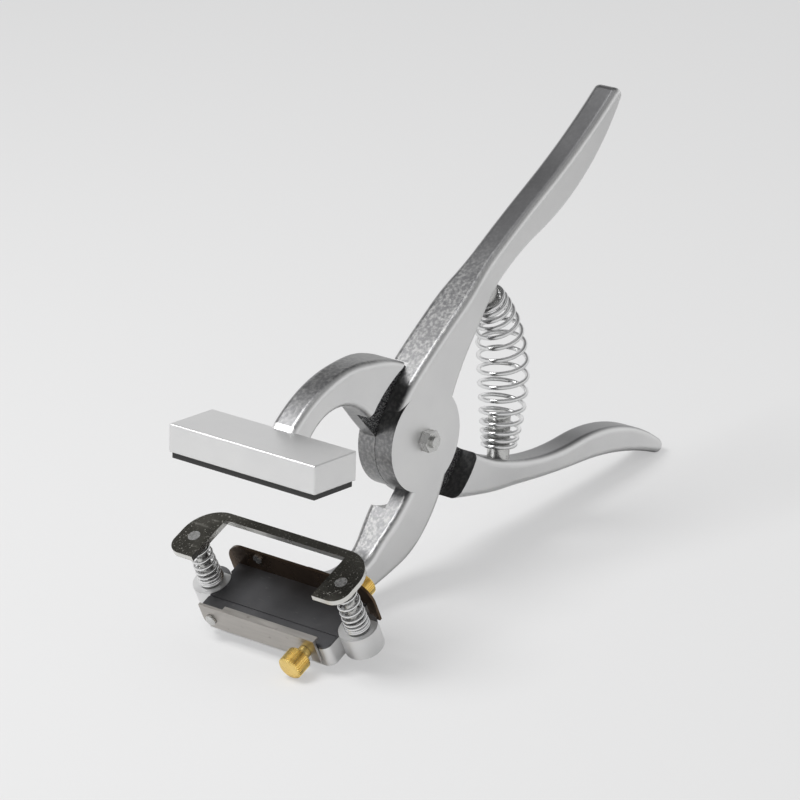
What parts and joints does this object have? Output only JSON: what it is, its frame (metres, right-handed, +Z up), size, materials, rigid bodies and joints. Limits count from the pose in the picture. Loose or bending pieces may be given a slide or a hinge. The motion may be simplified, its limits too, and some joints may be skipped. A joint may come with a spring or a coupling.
{
  "type": "livestock tattoo plier",
  "caption": "Hand plier that presses a row of type into a soft pad, with a sprung pivot, screwed type retaining plates and a sprung release frame.",
  "frame": {"origin": "on the ground under the middle of the tool's bounding box, as it stands on its front knob and lower handle", "axes": "+Z up, +X from the jaws to the handles, Y along the main pivot"},
  "size_m": [0.232, 0.078, 0.1477],
  "materials": {
    "cast_aluminium": "satin sand-cast",
    "black_rubber": "matte",
    "spring_steel": "bright",
    "brass": "knurled",
    "dark_steel": "blackened, polished",
    "plated_steel": "satin"
  },
  "bodies": {
    "upper_jaw": {"upper_jaw_lever": "cast_aluminium", "rubber_pad": "black_rubber", "pivot_bolt": "plated_steel", "pivot_nut": "plated_steel", "lower_spring_post": "plated_steel", "return_spring": "spring_steel"},
    "lower_jaw": {"lower_jaw_lever": "cast_aluminium", "upper_spring_post": "plated_steel", "type_bed_plate": "dark_steel", "rear_retaining_plate": "dark_steel", "rear_plate_rivets": "plated_steel", "front_plate_screw": "plated_steel", "rear_plate_screw": "plated_steel", "left_release_spring": "spring_steel", "right_release_spring": "spring_steel"},
    "release": {"release_frame": "dark_steel", "left_release_stud": "plated_steel", "right_release_stud": "plated_steel", "left_stud_nut": "plated_steel", "right_stud_nut": "plated_steel"},
    "front_plate": {"front_retaining_plate": "plated_steel"},
    "front_knob": {"front_thumbscrew": "brass"},
    "rear_knob": {"rear_thumbscrew": "brass"}
  },
  "joints": [
    {"name": "main_pivot", "type": "hinge", "parent": "upper_jaw", "child": "lower_jaw", "pos_m": [-0.02561, 0, 0.05305], "axis": [0, 1, 0], "range_deg": [0, 27.1], "stiffness_Nm_per_rad": 1.5, "springref_deg": -40.11, "deforming": ["return_spring"]},
    {"name": "release_slide", "type": "slide", "parent": "lower_jaw", "child": "release", "axis": [0.3742, 0, -0.9273], "range_m": [0, 0.0056], "stiffness_N_per_m": 400, "springref_m": -0.004, "deforming": ["left_release_spring", "right_release_spring"]},
    {"name": "front_plate_swing", "type": "hinge", "parent": "lower_jaw", "child": "front_plate", "pos_m": [-0.10563, 0.0221, 0.00792], "axis": [-0.9273, 0, -0.3742], "range_deg": [0, 90]},
    {"name": "front_knob_turn", "type": "hinge", "parent": "lower_jaw", "child": "front_knob", "pos_m": [-0.10823, -0.0193, 0.00688], "axis": [0.9273, 0, 0.3742], "continuous": true},
    {"name": "rear_knob_turn", "type": "hinge", "parent": "lower_jaw", "child": "rear_knob", "pos_m": [-0.07976, -0.0193, 0.01837], "axis": [0.9273, 0, 0.3742], "continuous": true}
  ],
  "couplings": [
    {"joint": "release_slide", "follows": "main_pivot", "m_per_rad": 0.01184}
  ]
}
